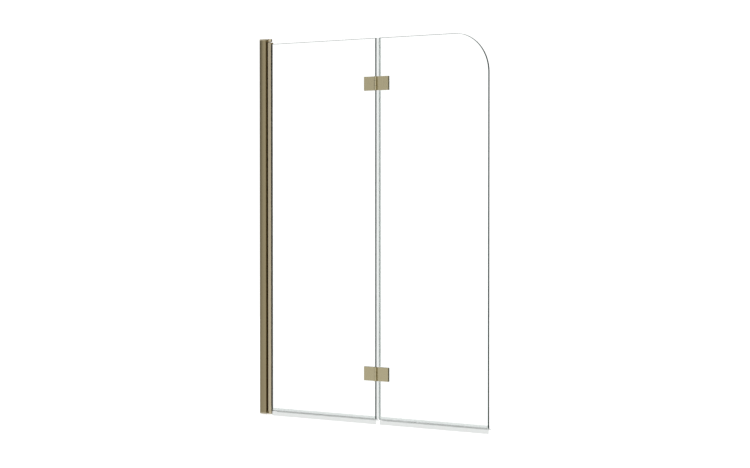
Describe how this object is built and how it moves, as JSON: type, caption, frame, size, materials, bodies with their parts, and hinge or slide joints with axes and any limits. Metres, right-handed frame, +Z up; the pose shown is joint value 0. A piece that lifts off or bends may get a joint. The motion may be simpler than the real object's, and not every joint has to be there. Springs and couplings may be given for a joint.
{
  "type": "folding bath screen",
  "caption": "Folding glass bath screen: a wall channel with a pivoting stile, hinged clear panes with a round top corner, bronze fittings and clear seals.",
  "frame": {"origin": "middle of the wall face of the wall channel", "axes": "+X out of the wall along the screen, +Y across the glass towards its back, +Z up"},
  "size_m": [1.0025, 0.0383, 1.405],
  "materials": {
    "bronze_aluminium": "brushed bronze anodised",
    "bronze_brass": "brushed bronze plated",
    "bronze_plastic": "satin bronze",
    "glass": "clear toughened, ground edges",
    "clear_pvc": "clear flexible",
    "nylon": "moulded",
    "rubber": "matt",
    "steel": "stainless"
  },
  "bodies": {
    "wall_side": {"wall_channel": "bronze_aluminium", "channel_top_cap": "bronze_plastic", "channel_bottom_cap": "bronze_plastic", "adjuster_clamp_screws": "steel"},
    "adjuster": {"adjuster_profile": "bronze_aluminium", "top_pivot_block": "bronze_brass", "bottom_pivot_block": "bronze_brass", "pivot_block_screws": "steel", "top_pivot_bush": "nylon", "bottom_pivot_bush": "nylon", "post_seal": "rubber"},
    "inner_panel": {"stile": "bronze_aluminium", "top_pivot_pin": "steel", "bottom_pivot_pin": "steel", "glazing_gasket": "rubber", "inner_glass": "glass", "inner_bottom_seal": "clear_pvc", "upper_inner_leaf": "bronze_brass", "upper_inner_back_plate": "bronze_brass", "upper_inner_front_gasket": "rubber", "upper_inner_back_gasket": "rubber", "upper_inner_sleeves": "nylon", "upper_inner_screws": "steel", "lower_inner_leaf": "bronze_brass", "lower_inner_back_plate": "bronze_brass", "lower_inner_front_gasket": "rubber", "lower_inner_back_gasket": "rubber", "lower_inner_sleeves": "nylon", "lower_inner_screws": "steel", "upper_hinge_pin": "steel", "lower_hinge_pin": "steel", "upper_knuckle_washers": "nylon", "lower_knuckle_washers": "nylon"},
    "outer_panel": {"outer_glass": "glass", "outer_bottom_seal": "clear_pvc", "vertical_seal_top": "clear_pvc", "vertical_seal_middle": "clear_pvc", "vertical_seal_bottom": "clear_pvc", "upper_outer_leaf": "bronze_brass", "upper_outer_back_plate": "bronze_brass", "upper_outer_front_gasket": "rubber", "upper_outer_back_gasket": "rubber", "upper_outer_sleeves": "nylon", "upper_outer_screws": "steel", "lower_outer_leaf": "bronze_brass", "lower_outer_back_plate": "bronze_brass", "lower_outer_front_gasket": "rubber", "lower_outer_back_gasket": "rubber", "lower_outer_sleeves": "nylon", "lower_outer_screws": "steel"}
  },
  "joints": [
    {"name": "wall_adjust", "type": "slide", "parent": "wall_side", "child": "adjuster", "axis": [1, 0, 0], "range_m": [0, 0.015]},
    {"name": "wall_pivot", "type": "hinge", "parent": "adjuster", "child": "inner_panel", "pos_m": [0.0394, 0, 0], "axis": [0, 0, 1], "range_deg": [-90, 90]},
    {"name": "fold_hinge", "type": "hinge", "parent": "inner_panel", "child": "outer_panel", "pos_m": [0.53375, -0.0163, 0], "axis": [0, 0, -1], "range_deg": [0, 180]}
  ]
}
